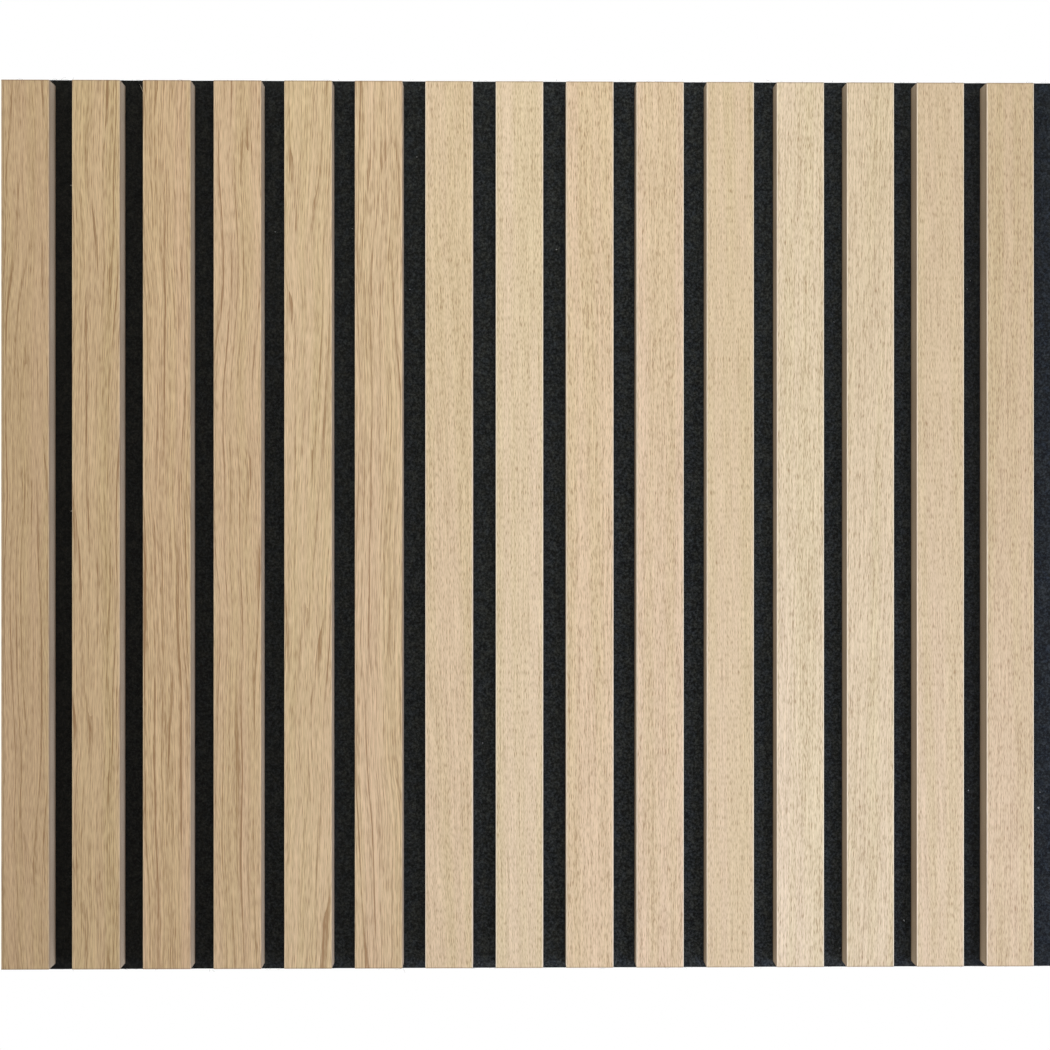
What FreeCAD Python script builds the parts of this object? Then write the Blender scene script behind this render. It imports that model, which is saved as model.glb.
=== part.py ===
import FreeCAD, Part
import math
import os
from enum import IntEnum

import Sketcher
from FreeCAD import Vector

# Acoustic slat wall panel, upright as it hangs on a wall, in millimetres.
# A black felt board carries a row of upright MDF slats with an oak veneer on their fronts, and
# runs a little past the slats' ends.
# Each slat is held from the wall side by staples, which go through the felt into the MDF.
# X runs along the wall, Z runs up the slats, and the slats look towards -Y.
# The origin is the centre of the felt's wall side.

doc = FreeCAD.newDocument("slat_wall_panel")

# Driving sizes

driving_sizes = {
    "slat_count": 15,
    "slat_width": 27,
    "slat_gap": 13,
    "felt_tongue": 15.5,
    "slat_length": 504,
    "felt_overhang": 3.7,
    "felt_thickness": 9,
    "core_thickness": 11.5,
    "veneer_thickness": 0.5,
    "veneer_arris": 0.3,
    "staple_rows": 3,
    "staple_end_margin": 52,
    "staple_crown": 5.8,
    "staple_length": 16,
    "staple_wire_width": 1.25,
    "staple_wire_depth": 1.05,
    "staple_bend": 0.9,
    "staple_point": 1.2,
    "staple_fit": 0.05,
}

sheet = doc.addObject("Spreadsheet::Sheet", "Sizes")
for row, (alias, value) in enumerate(driving_sizes.items(), start=1):
    sheet.set(f"A{row}", alias)
    sheet.set(f"B{row}", str(value))
    sheet.setAlias(f"B{row}", alias)
doc.recompute()

# Sizes worked out from the driving ones, as expressions

PITCH = "(Sizes.slat_width + Sizes.slat_gap)"
PANEL_WIDTH = f"(Sizes.slat_count * {PITCH} - Sizes.slat_gap + Sizes.felt_tongue)"
FIRST_SLAT_X = f"((Sizes.slat_width - {PANEL_WIDTH}) / 2)"
FELT_HEIGHT = "(Sizes.slat_length + 2 * Sizes.felt_overhang)"
ROW_RISE = "((Sizes.slat_length - 2 * Sizes.staple_end_margin) / max(Sizes.staple_rows - 1; 1))"
LOWEST_ROW_Z = f"(-{ROW_RISE} * (Sizes.staple_rows - 1) / 2)"


# Sketch helpers

class Axis(IntEnum):
    """The numbers that a sketch gives to its own axes."""
    ACROSS = -1
    UPRIGHT = -2


class Point(IntEnum):
    """The numbers that a sketch gives to the ends of a line or an arc, and to its own origin."""
    START = 1
    END = 2


def origin_feature(body, role):
    """One of the body's own origin planes or axes, found by its role."""
    return next(item for item in body.Origin.OriginFeatures if item.Role == role)


def new_sketch(body, name, plane):
    """An empty sketch on one of the body's origin planes."""
    sketch = body.newObject("Sketcher::SketchObject", name)
    sketch.AttachmentSupport = [(origin_feature(body, plane), "")]
    sketch.MapMode = "FlatFace"
    return sketch


def tie(sketch, kind, *what):
    """Adds a constraint of this kind to the sketch."""
    return sketch.addConstraint(Sketcher.Constraint(kind, *what))


def dimension(sketch, name, expression, kind, *what):
    """Adds a named dimension and binds it to an expression on the sheet."""
    index = tie(sketch, kind, *what)
    sketch.renameConstraint(index, name)
    sketch.setExpression(f"Constraints.{name}", expression)


def closed_outline(sketch, points):
    """Straight lines through the points, closed, with their ends joined."""
    lines = [sketch.addGeometry(Part.LineSegment(start, end), False)
             for start, end in zip(points, points[1:] + points[:1])]
    for line, following in zip(lines, lines[1:] + lines[:1]):
        tie(sketch, "Coincident", line, Point.END, following, Point.START)


def board_section(sketch, width, thickness):
    """A rectangle centred on X whose wall side lies on y = 0 and whose front lies at -thickness."""
    half, depth = 10, 5    # a rough start, which the dimensions then set
    closed_outline(sketch, [
        Vector(-half, -depth, 0), Vector(half, -depth, 0), Vector(half, 0, 0), Vector(-half, 0, 0),
    ])
    front, right, back, left = range(4)
    tie(sketch, "Horizontal", back)
    for line in (left, right):
        tie(sketch, "Vertical", line)
    tie(sketch, "Symmetric", front, Point.START, front, Point.END, Axis.UPRIGHT)
    tie(sketch, "PointOnObject", back, Point.START, Axis.ACROSS)
    dimension(sketch, "width", width,
              "DistanceX", front, Point.START, front, Point.END, 2 * half)
    dimension(sketch, "thickness", thickness,
              "DistanceY", right, Point.START, right, Point.END, depth)


def upright_board(body, width, thickness, height):
    """The body's board: its section drawn on the floor plane and run half its height each way."""
    section = new_sketch(body, "section", "XY_Plane")
    board_section(section, width, thickness)
    pad = body.newObject("PartDesign::Pad", "board")
    pad.Profile = section
    pad.SideType = "Symmetric"
    pad.setExpression("Length", height)
    section.Visibility = False
    doc.recompute()
    return pad


def staple_outline(sketch):
    """The bent wire seen from above: its crown along X on y = 0, and two legs with chisel points."""
    half, reach, depth, bend, tip = 3, 16, 1, 0.8, 1.2    # a rough start, which the dimensions set
    inside = half - depth
    corner = math.pi / 2
    for centre_x, first_angle in [(half - bend, 0), (bend - half, corner)]:
        circle = Part.Circle(Vector(centre_x, -bend, 0), Vector(0, 0, 1), bend)
        sketch.addGeometry(Part.Arc(circle, first_angle, first_angle + corner), False)
    for start, end in [
        (Vector(half, -reach, 0), Vector(half, -bend, 0)),
        (Vector(half - bend, 0, 0), Vector(bend - half, 0, 0)),
        (Vector(-half, -bend, 0), Vector(-half, -reach, 0)),
        (Vector(-half, -reach, 0), Vector(-inside, tip - reach, 0)),
        (Vector(-inside, tip - reach, 0), Vector(-inside, -depth, 0)),
        (Vector(-inside, -depth, 0), Vector(inside, -depth, 0)),
        (Vector(inside, -depth, 0), Vector(inside, tip - reach, 0)),
        (Vector(inside, tip - reach, 0), Vector(half, -reach, 0)),
    ]:
        sketch.addGeometry(Part.LineSegment(start, end), False)
    right_bend, left_bend, right_leg, crown, left_leg = range(5)
    left_point, left_inside, under_crown, right_inside, right_point = range(5, 10)

    for arc, arc_end, line, line_end in [
        (right_bend, Point.START, right_leg, Point.END), (right_bend, Point.END, crown, Point.START),
        (left_bend, Point.START, crown, Point.END), (left_bend, Point.END, left_leg, Point.START),
    ]:
        tie(sketch, "Tangent", arc, arc_end, line, line_end)
    chain = [left_leg, left_point, left_inside, under_crown, right_inside, right_point, right_leg]
    for first, second in zip(chain, chain[1:]):
        tie(sketch, "Coincident", first, Point.END, second, Point.START)
    for line in (right_leg, left_leg, right_inside):
        tie(sketch, "Vertical", line)
    for line, line_end, twin, twin_end in [
        (crown, Point.END, crown, Point.START), (left_leg, Point.END, right_leg, Point.START),
        (left_inside, Point.START, right_inside, Point.END),
        (left_inside, Point.END, right_inside, Point.START),
    ]:
        tie(sketch, "Symmetric", line, line_end, twin, twin_end, Axis.UPRIGHT)
    tie(sketch, "PointOnObject", crown, Point.START, Axis.ACROSS)

    dimension(sketch, "crown_width", "Sizes.staple_crown",
              "DistanceX", left_leg, Point.END, right_leg, Point.START, 2 * half)
    dimension(sketch, "length", "Sizes.staple_length",
              "DistanceY", right_leg, Point.START, crown, Point.START, reach)
    dimension(sketch, "leg", "Sizes.staple_wire_depth",
              "DistanceX", right_inside, Point.END, right_leg, Point.START, depth)
    dimension(sketch, "crown_depth", "Sizes.staple_wire_depth",
              "DistanceY", under_crown, Point.END, crown, Point.START, depth)
    dimension(sketch, "bend", "Sizes.staple_bend",
              "Radius", right_bend, bend)
    dimension(sketch, "point", "Sizes.staple_point",
              "DistanceY", right_leg, Point.START, right_inside, Point.END, tip)


def wire_height(sketch, line):
    """Makes an upright line of a slot as tall as the wire is wide, with the fit above and below."""
    dimension(sketch, "height", "Sizes.staple_wire_width + 2 * Sizes.staple_fit",
              "DistanceY", line, Point.START, line, Point.END, 1)


def crown_slot_outline(sketch):
    """The groove of a staple's crown, seen from the slats: a rectangle round the sketch's origin."""
    half, rise = 3, 0.6    # a rough start, which the dimensions set
    closed_outline(sketch, [
        Vector(-half, -rise, 0), Vector(half, -rise, 0), Vector(half, rise, 0), Vector(-half, rise, 0),
    ])
    bottom, right, top, left = range(4)
    tie(sketch, "Horizontal", top)
    tie(sketch, "Vertical", left)
    tie(sketch, "Symmetric", right, Point.START, right, Point.END, Axis.ACROSS)
    tie(sketch, "Symmetric", bottom, Point.START, bottom, Point.END, Axis.UPRIGHT)
    dimension(sketch, "width", "Sizes.staple_crown + 2 * Sizes.staple_fit",
              "DistanceX", bottom, Point.START, bottom, Point.END, 2 * half)
    wire_height(sketch, right)


def leg_slots_outline(sketch):
    """The slots of a staple's two legs: a rectangle each side of the sketch's origin."""
    inner, outer, rise = 2, 3, 0.6    # a rough start, which the dimensions set
    for low_x, high_x in [(inner, outer), (-outer, -inner)]:
        closed_outline(sketch, [
            Vector(low_x, -rise, 0), Vector(high_x, -rise, 0),
            Vector(high_x, rise, 0), Vector(low_x, rise, 0),
        ])
    bottom, right, top, left, twin_bottom, twin_right, twin_top, twin_left = range(8)
    for line in (bottom, top, twin_bottom, twin_top):
        tie(sketch, "Horizontal", line)
    for line in (left, twin_left, twin_right):
        tie(sketch, "Vertical", line)
    tie(sketch, "Symmetric", right, Point.START, right, Point.END, Axis.ACROSS)
    tie(sketch, "Symmetric", twin_bottom, Point.START, bottom, Point.END, Axis.UPRIGHT)
    tie(sketch, "Symmetric", twin_top, Point.START, top, Point.END, Axis.UPRIGHT)
    dimension(sketch, "reach", "Sizes.staple_crown / 2 + Sizes.staple_fit",
              "DistanceX", Axis.ACROSS, Point.START, right, Point.START, outer)
    dimension(sketch, "width", "Sizes.staple_wire_depth + 2 * Sizes.staple_fit",
              "DistanceX", bottom, Point.START, bottom, Point.END, outer - inner)
    wire_height(sketch, right)


def repeat_staples(body, features, columns):
    """Repeats a staple, or its slots, up the rows and, for more than one column, along the slats."""
    pattern = body.newObject("PartDesign::LinearPattern", "staple_rows")
    pattern.Originals = features
    pattern.Direction = (origin_feature(body, "Z_Axis"), [""])
    pattern.Mode = "Spacing"
    pattern.setExpression("Offset", ROW_RISE)
    pattern.setExpression("Occurrences", "Sizes.staple_rows")
    pattern.Direction2 = (origin_feature(body, "X_Axis"), [""])
    pattern.Mode2 = "Spacing"
    pattern.Spacings2 = []    # no column has a spacing of its own
    pattern.setExpression("Offset2", PITCH)
    pattern.setExpression("Occurrences2", columns)
    body.Tip = pattern
    doc.recompute()


def wall_side_pocket(body, outline, name, first_x, depth):
    """Cuts an outline into the body from its wall side, at the lowest row of staples."""
    sketch = new_sketch(body, f"{name}_outline", "XZ_Plane")
    sketch.setExpression("AttachmentOffset.Base.x", first_x)
    sketch.setExpression("AttachmentOffset.Base.y", LOWEST_ROW_Z)
    outline(sketch)
    pocket = body.newObject("PartDesign::Pocket", name)
    pocket.Profile = sketch
    pocket.Reversed = True
    pocket.setExpression("Length", depth)
    sketch.Visibility = False
    doc.recompute()
    return pocket


def new_body(name, x, y):
    """A sub-part's body, with its origin at x along the wall and y from the wall side."""
    body = doc.addObject("PartDesign::Body", name)
    body.Label = name
    body.AllowCompound = True
    body.setExpression("Placement.Base.x", x)
    body.setExpression("Placement.Base.y", y)
    return body


# Felt backing: one board of pressed black felt as wide as the slats and their gaps, with a bare
# tongue past the last slat and a small overhang past the slats' ends. The staples' crowns are
# drawn flush into its wall side.

felt = new_body("felt_backing", "0", "0")
upright_board(felt, PANEL_WIDTH, "Sizes.felt_thickness", FELT_HEIGHT)
crown_slot = wall_side_pocket(felt, crown_slot_outline, "crown_slot", FIRST_SLAT_X,
                              "Sizes.staple_wire_depth + Sizes.staple_fit")
felt_leg_slots = wall_side_pocket(felt, leg_slots_outline, "leg_slots", FIRST_SLAT_X,
                                  "Sizes.felt_thickness")
repeat_staples(felt, [crown_slot, felt_leg_slots], "Sizes.slat_count")


# Slats: an MDF core glued on the felt and an oak veneer glued on the core's front, whose long
# front edges are eased with fine paper.

def slat_x(number):
    """The middle of a slat along the wall, as an expression."""
    return f"{FIRST_SLAT_X} + {number - 1} * {PITCH}"


def slat_core(number):
    """One raw MDF strip, with the blind slots of its staples' legs in its felt side."""
    core = new_body(f"slat_core_{number:02d}", slat_x(number), "-Sizes.felt_thickness")
    upright_board(core, "Sizes.slat_width", "Sizes.core_thickness", "Sizes.slat_length")
    leg_slots = wall_side_pocket(core, leg_slots_outline, "leg_slots", "0",
                                 "Sizes.staple_length + Sizes.staple_fit - Sizes.felt_thickness")
    repeat_staples(core, [leg_slots], "1")
    return core


def front_edges(shape):
    """The names of the two upright edges on a board's front."""
    middle = shape.BoundBox.Center.y
    boxes = [edge.BoundBox for edge in shape.Edges]
    return [f"Edge{index}" for index, box in enumerate(boxes, start=1)
            if box.YMax < middle and box.ZLength > box.XLength]


def slat_veneer(number):
    """One strip of oak veneer with its two long front edges eased."""
    place_y = "-Sizes.felt_thickness - Sizes.core_thickness"
    veneer = new_body(f"slat_veneer_{number:02d}", slat_x(number), place_y)
    board = upright_board(veneer, "Sizes.slat_width", "Sizes.veneer_thickness",
                          "Sizes.slat_length")
    arris = veneer.newObject("PartDesign::Fillet", "arris")
    arris.Base = (board, front_edges(board.Shape))
    arris.setExpression("Radius", "Sizes.veneer_arris")
    doc.recompute()
    return veneer


slat_numbers = range(1, int(sheet.slat_count) + 1)
cores = [slat_core(number) for number in slat_numbers]
veneers = [slat_veneer(number) for number in slat_numbers]


# Staples: galvanised flat wire bent square at both ends of the crown, one to a slat in each row.
# They are one node of separate solids.

staples = new_body("back_staples", "0", "0")
staple_sketch = new_sketch(staples, "bent_wire", "XY_Plane")
staple_sketch.setExpression("AttachmentOffset.Base.x", FIRST_SLAT_X)
staple_sketch.setExpression("AttachmentOffset.Base.z", LOWEST_ROW_Z)
staple_outline(staple_sketch)
wire_pad = staples.newObject("PartDesign::Pad", "wire")
wire_pad.Profile = staple_sketch
wire_pad.SideType = "Symmetric"
wire_pad.setExpression("Length", "Sizes.staple_wire_width")
staple_sketch.Visibility = False
doc.recompute()
repeat_staples(staples, [wire_pad], "Sizes.slat_count")


# Checks, and one STEP file for each sub-part

for item in doc.Objects:
    if "Invalid" in item.State or "Error" in item.State:
        raise RuntimeError(f"{item.Name} is {item.State}")

sub_parts = [felt] + cores + veneers + [staples]
for sub_part in sub_parts:
    if sub_part.Shape.isNull() or not sub_part.Shape.isValid():
        raise RuntimeError(f"{sub_part.Label} has no valid shape")

staple_total = int(sheet.slat_count) * int(sheet.staple_rows)
if len(staples.Shape.Solids) != staple_total:
    raise RuntimeError(f"{len(staples.Shape.Solids)} staples, not {staple_total}")

for carrier in [felt] + cores:
    blank = next(item for item in carrier.Group if item.TypeId == "PartDesign::Pad")
    if not carrier.Shape.Volume < blank.Shape.Volume:
        raise RuntimeError(f"{carrier.Label} has no staple slots")

os.makedirs("parts", exist_ok=True)
for sub_part in sub_parts:
    sub_part.Shape.exportStep(os.path.join("parts", f"{sub_part.Label}.step"))
    print(sub_part.Label, len(sub_part.Shape.Solids), "solids,", round(sub_part.Shape.Volume), "mm3")
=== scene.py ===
"""Acoustic slat wall panel: oak-veneered MDF slats stapled to a black felt board."""
import math
import random

import bpy
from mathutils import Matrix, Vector


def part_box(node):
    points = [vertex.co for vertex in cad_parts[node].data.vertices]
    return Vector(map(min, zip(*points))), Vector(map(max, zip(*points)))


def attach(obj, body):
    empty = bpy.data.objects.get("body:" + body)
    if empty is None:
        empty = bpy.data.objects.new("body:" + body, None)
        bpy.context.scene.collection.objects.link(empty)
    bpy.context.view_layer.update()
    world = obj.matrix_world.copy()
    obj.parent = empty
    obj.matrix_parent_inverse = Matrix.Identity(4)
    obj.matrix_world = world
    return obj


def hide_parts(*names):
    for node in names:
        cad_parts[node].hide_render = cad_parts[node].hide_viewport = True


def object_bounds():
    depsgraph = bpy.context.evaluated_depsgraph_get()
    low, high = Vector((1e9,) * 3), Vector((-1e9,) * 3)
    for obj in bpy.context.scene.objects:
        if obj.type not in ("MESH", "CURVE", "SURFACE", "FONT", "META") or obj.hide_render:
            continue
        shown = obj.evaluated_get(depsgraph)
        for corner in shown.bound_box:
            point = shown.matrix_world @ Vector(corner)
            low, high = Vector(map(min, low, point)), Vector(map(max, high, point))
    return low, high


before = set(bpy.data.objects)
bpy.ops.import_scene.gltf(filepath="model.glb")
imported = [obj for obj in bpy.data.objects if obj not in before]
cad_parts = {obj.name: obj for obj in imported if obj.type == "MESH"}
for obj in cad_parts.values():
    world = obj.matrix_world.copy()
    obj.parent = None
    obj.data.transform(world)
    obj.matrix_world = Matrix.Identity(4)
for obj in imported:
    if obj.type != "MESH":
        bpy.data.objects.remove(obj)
packed_low, packed_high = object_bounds()

# Felt board
# Black needle-punched polyester felt, 9 mm thick, cut to size with a blade, so its faces are
# slightly lumpy and its cut edges soft. Every slat is stapled to it through its wall side, and
# the felt sinks a little round each staple.
mm = 0.001
felt_low, felt_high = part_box("felt_backing")
felt_width = felt_high.x - felt_low.x
felt_height = felt_high.z - felt_low.z
felt_thickness = felt_high.y - felt_low.y
felt_cell = 3.6 * mm
felt_lump_size = 9 * mm
felt_lump_depth = 0.22 * mm
felt_edge_round = 0.7 * mm
clumps_per_mm = 0.28
tangles_per_mm = 0.75
pits_per_mm = 1.1
pit_depth = 0.5 * mm
slat_count = 15
slat_pitch = 40 * mm
slat_width = 27 * mm
first_slat_middle = felt_low.x + slat_width / 2
staple_rows = 3
staple_row_rise = 200 * mm
staple_dip = 0.45 * mm
staple_dip_reach = 5 * mm


def add_node(tree, kind, settings=None, inputs=None):
    """Adds a node and sets its properties and ramp stops. Each input, by name or number, gets a
    value, a socket's link, or a link from a node's first output."""
    made = tree.nodes.new(kind)
    for key, value in (settings or {}).items():
        if key == "stops":
            ramp = made.color_ramp
            while len(ramp.elements) < len(value):
                ramp.elements.new(0.5)
            for element, (place, colour) in zip(ramp.elements, value):
                element.position = place
                element.color = colour
        else:
            setattr(made, key, value)
    for key, value in (inputs or {}).items():
        socket = made.inputs[key]
        if isinstance(value, bpy.types.Node):
            tree.links.new(value.outputs[0], socket)
        elif isinstance(value, bpy.types.NodeSocket):
            tree.links.new(value, socket)
        else:
            socket.default_value = value
    return made


def new_tree(name, inputs):
    """An empty tree of geometry nodes with these named inputs, and its input node."""
    tree = bpy.data.node_groups.new(name, "GeometryNodeTree")
    for label, kind in inputs.items():
        tree.interface.new_socket(label, in_out="INPUT", socket_type="NodeSocket" + kind)
    tree.interface.new_socket("Geometry", in_out="OUTPUT", socket_type="NodeSocketGeometry")
    return tree, add_node(tree, "NodeGroupInput")


def end_tree(tree, shape, material):
    """Makes the copies real, gives them their material and sends them out."""
    real = add_node(tree, "GeometryNodeRealizeInstances", inputs={"Geometry": shape})
    coated = add_node(tree, "GeometryNodeSetMaterial", inputs={"Geometry": real, "Material": material})
    add_node(tree, "NodeGroupOutput", inputs={"Geometry": coated})


def grow(name, tree, values, bevel=0.0, start=None):
    """An object with the plain mesh that a tree makes from a start mesh and these input values."""
    piece = bpy.data.objects.new(name, start or bpy.data.meshes.new(name))
    bpy.context.scene.collection.objects.link(piece)
    grower = piece.modifiers.new("grow", "NODES")
    grower.node_group = tree
    for item in tree.interface.items_tree:
        if item.in_out == "INPUT" and item.name in values:
            grower[item.identifier] = values[item.name]
    if bevel:
        rounding = piece.modifiers.new("round the edges", "BEVEL")
        rounding.width = bevel
        rounding.segments = 2
        rounding.limit_method = "ANGLE"
        rounding.angle_limit = math.radians(50)
    grown = piece.evaluated_get(bpy.context.evaluated_depsgraph_get())
    piece.data = bpy.data.meshes.new_from_object(grown)
    piece.modifiers.clear()
    piece.data.name = name
    return piece


def linear(code):
    """The linear colour of an sRGB hex value."""
    parts = [int(code[i:i + 2], 16) / 255 for i in (1, 3, 5)]
    return [p / 12.92 if p < 0.04045 else ((p + 0.055) / 1.055) ** 2.4 for p in parts] + [1.0]


def new_material(name):
    """An empty material, its Principled node, and a node that gives Object coordinates in mm."""
    material = bpy.data.materials.new(name)
    material.use_nodes = True
    tree = material.node_tree
    tree.nodes.clear()
    place = add_node(tree, "ShaderNodeTexCoord").outputs["Object"]
    in_mm = add_node(tree, "ShaderNodeVectorMath", {"operation": "SCALE"}, {0: place, "Scale": 1 / mm})
    surface = add_node(tree, "ShaderNodeBsdfPrincipled")
    add_node(tree, "ShaderNodeOutputMaterial", inputs={"Surface": surface})
    return material, tree, surface, in_mm


def with_painted_shade_drift(tree, place, colour):
    """The colour with painted shade: darker and warmer towards the board's left edge, and darker and bluer
    towards its right one, for the dimmer light there.
    """
    across = add_node(tree, "ShaderNodeSeparateXYZ", inputs={0: place})
    share = add_node(tree, "ShaderNodeMapRange", inputs={
        "Value": across.outputs["X"], "From Min": felt_low.x / mm, "From Max": felt_high.x / mm})
    # Painted shade: this ramp darkens the colour towards both side edges of the board, warmer at the left
    # and bluer at the right.
    drift = add_node(tree, "ShaderNodeValToRGB", {"stops": [
        (0.0, linear("#857A69")), (0.15, linear("#9F988E")), (0.45, linear("#FFFFFF")),
        (0.75, linear("#FFFFFF")), (0.93, linear("#C6C4C6")), (0.97, linear("#C8CEDA"))]}, {0: share})
    return add_node(tree, "ShaderNodeMix", {"data_type": "RGBA", "blend_type": "MULTIPLY"}, {
        "Factor": 1.0, 6: colour, 7: drift}).outputs[2]


def felt_material():
    """Black polyester felt, needle-punched: matt fibres in no direction, so it has no gloss, only
    clumps and pits a millimetre or so across. Its dye is bluish here and greenish there, and it
    has painted shade towards the board's left and right edges, warmer at the left, bluer at the right."""
    material, tree, surface, place = new_material("needle-punched black polyester felt")
    clumps = add_node(tree, "ShaderNodeTexNoise", inputs={
        "Vector": place, "Scale": clumps_per_mm, "Detail": 1.0})
    tangle = add_node(tree, "ShaderNodeTexNoise", inputs={
        "Vector": place, "Scale": tangles_per_mm, "Detail": 2.0, "Roughness": 0.75})
    black = add_node(tree, "ShaderNodeValToRGB", {"stops": [
        (0.3, linear("#0C0C0C")), (0.47, linear("#1F2121")), (0.7, linear("#404344"))]}, {0: tangle})
    dye = add_node(tree, "ShaderNodeValToRGB", {"stops": [
        (0.35, linear("#FFFFF6")), (0.65, linear("#EEF5FF"))]}, {0: clumps})
    dyed = add_node(tree, "ShaderNodeMix", {"data_type": "RGBA", "blend_type": "MULTIPLY"}, {
        "Factor": 1.0, 6: black, 7: dye})
    # The felt's colour gets painted shade towards the board's side edges.
    tree.links.new(with_painted_shade_drift(tree, place, dyed.outputs[2]), surface.inputs["Base Color"])
    rough = add_node(tree, "ShaderNodeMapRange", inputs={
        "Value": clumps, "From Min": 0.3, "From Max": 0.7, "To Min": 0.86, "To Max": 1.0})
    tree.links.new(rough.outputs[0], surface.inputs["Roughness"])
    pits = add_node(tree, "ShaderNodeTexNoise", inputs={
        "Vector": place, "Scale": pits_per_mm, "Detail": 1.0})
    bump = add_node(tree, "ShaderNodeBump", inputs={
        "Height": pits, "Strength": 0.6, "Distance": pit_depth})
    tree.links.new(bump.outputs[0], surface.inputs["Normal"])
    surface.inputs["Specular IOR Level"].default_value = 0.2
    return material


def staple_places(tree, given):
    """Points on the board's wall side, one for each staple, in rows that run along the slats."""
    across = add_node(tree, "ShaderNodeMath", {"operation": "SUBTRACT"}, {
        0: given.outputs["Staples across"], 1: 1.0})
    row_length = add_node(tree, "ShaderNodeMath", {"operation": "MULTIPLY"}, {
        0: across, 1: given.outputs["Pitch"]})
    up = add_node(tree, "ShaderNodeMath", {"operation": "SUBTRACT"}, {
        0: given.outputs["Staples up"], 1: 1.0})
    column_length = add_node(tree, "ShaderNodeMath", {"operation": "MULTIPLY"}, {
        0: up, 1: given.outputs["Rise"]})
    staple_grid = add_node(tree, "GeometryNodeMeshGrid", inputs={
        "Size X": row_length, "Size Y": column_length,
        "Vertices X": given.outputs["Staples across"], "Vertices Y": given.outputs["Staples up"]})
    row_middle = add_node(tree, "ShaderNodeMath", {"operation": "MULTIPLY_ADD"}, {
        0: row_length, 1: 0.5, 2: given.outputs["First staple"]})
    grid_place = add_node(tree, "ShaderNodeCombineXYZ", inputs={0: row_middle})
    return add_node(tree, "GeometryNodeTransform", inputs={
        "Geometry": staple_grid, "Translation": grid_place, "Rotation": (math.pi / 2, 0.0, 0.0)})


def felt_board_tree():
    """A slab of small cells, pushed in by lumps and by a dip round each staple."""
    tree, given = new_tree("felt board", {
        "Width": "Float", "Thickness": "Float", "Height": "Float", "Cell": "Float",
        "Lump size": "Float", "Lump depth": "Float", "Staples across": "Int", "Staples up": "Int",
        "Pitch": "Float", "Rise": "Float", "First staple": "Float", "Dip": "Float",
        "Dip reach": "Float", "Seed": "Int", "Material": "Material"})
    size = add_node(tree, "ShaderNodeCombineXYZ", inputs={
        0: given.outputs["Width"], 1: given.outputs["Thickness"], 2: given.outputs["Height"]})
    cells = [add_node(tree, "ShaderNodeMath", {"operation": "DIVIDE"}, {
        0: given.outputs[side], 1: given.outputs["Cell"]}) for side in ("Width", "Thickness", "Height")]
    slab = add_node(tree, "GeometryNodeMeshCube", inputs={
        "Size": size, "Vertices X": cells[0], "Vertices Y": cells[1], "Vertices Z": cells[2]})
    half = add_node(tree, "ShaderNodeMath", {"operation": "MULTIPLY"}, {
        0: given.outputs["Thickness"], 1: -0.5})
    behind = add_node(tree, "ShaderNodeCombineXYZ", inputs={1: half})
    board = add_node(tree, "GeometryNodeTransform", inputs={"Geometry": slab, "Translation": behind})

    to_staple = add_node(tree, "GeometryNodeProximity", {"target_element": "POINTS"}, {
        "Geometry": staple_places(tree, given)})
    dip = add_node(tree, "ShaderNodeMapRange", {"interpolation_type": "SMOOTHSTEP"}, {
        "Value": to_staple.outputs["Distance"], "From Min": 0.0,
        "From Max": given.outputs["Dip reach"], "To Min": given.outputs["Dip"], "To Max": 0.0})

    place = add_node(tree, "GeometryNodeInputPosition")
    per_lump = add_node(tree, "ShaderNodeMath", {"operation": "DIVIDE"}, {
        0: 1.0, 1: given.outputs["Lump size"]})
    lumps = add_node(tree, "ShaderNodeTexNoise", {"noise_dimensions": "4D"}, {
        "Vector": place, "W": given.outputs["Seed"], "Scale": per_lump, "Detail": 1.0})
    lump_depth = add_node(tree, "ShaderNodeMath", {"operation": "MULTIPLY"}, {
        0: lumps, 1: given.outputs["Lump depth"]})
    depth = add_node(tree, "ShaderNodeMath", {"operation": "ADD"}, {0: lump_depth, 1: dip})
    inwards = add_node(tree, "ShaderNodeMath", {"operation": "MULTIPLY"}, {0: depth, 1: -1.0})
    push = add_node(tree, "ShaderNodeVectorMath", {"operation": "SCALE"}, {
        0: add_node(tree, "GeometryNodeInputNormal"), "Scale": inwards})
    pressed = add_node(tree, "GeometryNodeSetPosition", inputs={"Geometry": board, "Offset": push})
    end_tree(tree, pressed, given.outputs["Material"])
    return tree


black_felt = felt_material()
felt_board = grow("felt_board", felt_board_tree(), {
    "Width": felt_width, "Thickness": felt_thickness, "Height": felt_height, "Cell": felt_cell,
    "Lump size": felt_lump_size, "Lump depth": felt_lump_depth, "Staples across": slat_count,
    "Staples up": staple_rows, "Pitch": slat_pitch, "Rise": staple_row_rise,
    "First staple": first_slat_middle, "Dip": staple_dip, "Dip reach": staple_dip_reach, "Seed": 4,
    "Material": black_felt}, bevel=felt_edge_round)
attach(felt_board, "root")
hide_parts("felt_backing")

# Loose fibres of the felt
# Needle punching leaves single fibres arched out of the felt's faces and cut edges. They catch a
# little light and hide the hard line of the cut. Under the slats they are pressed flat.
fuzz_length = 5.5 * mm
fuzz_width = 0.11 * mm  # real ones are 0.03 mm thick, which wouldn't show
fuzz_lift = 0.55 * mm
fuzz_arch = 0.1  # how far a fibre of unit length would arch
fuzz_tilt = 0.12  # in radians
slatward = -0.7  # faces whose normal's y lies below this look towards the slats
front_fuzz_per_m2 = 95000.0
back_fuzz_per_m2 = 26000.0


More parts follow.
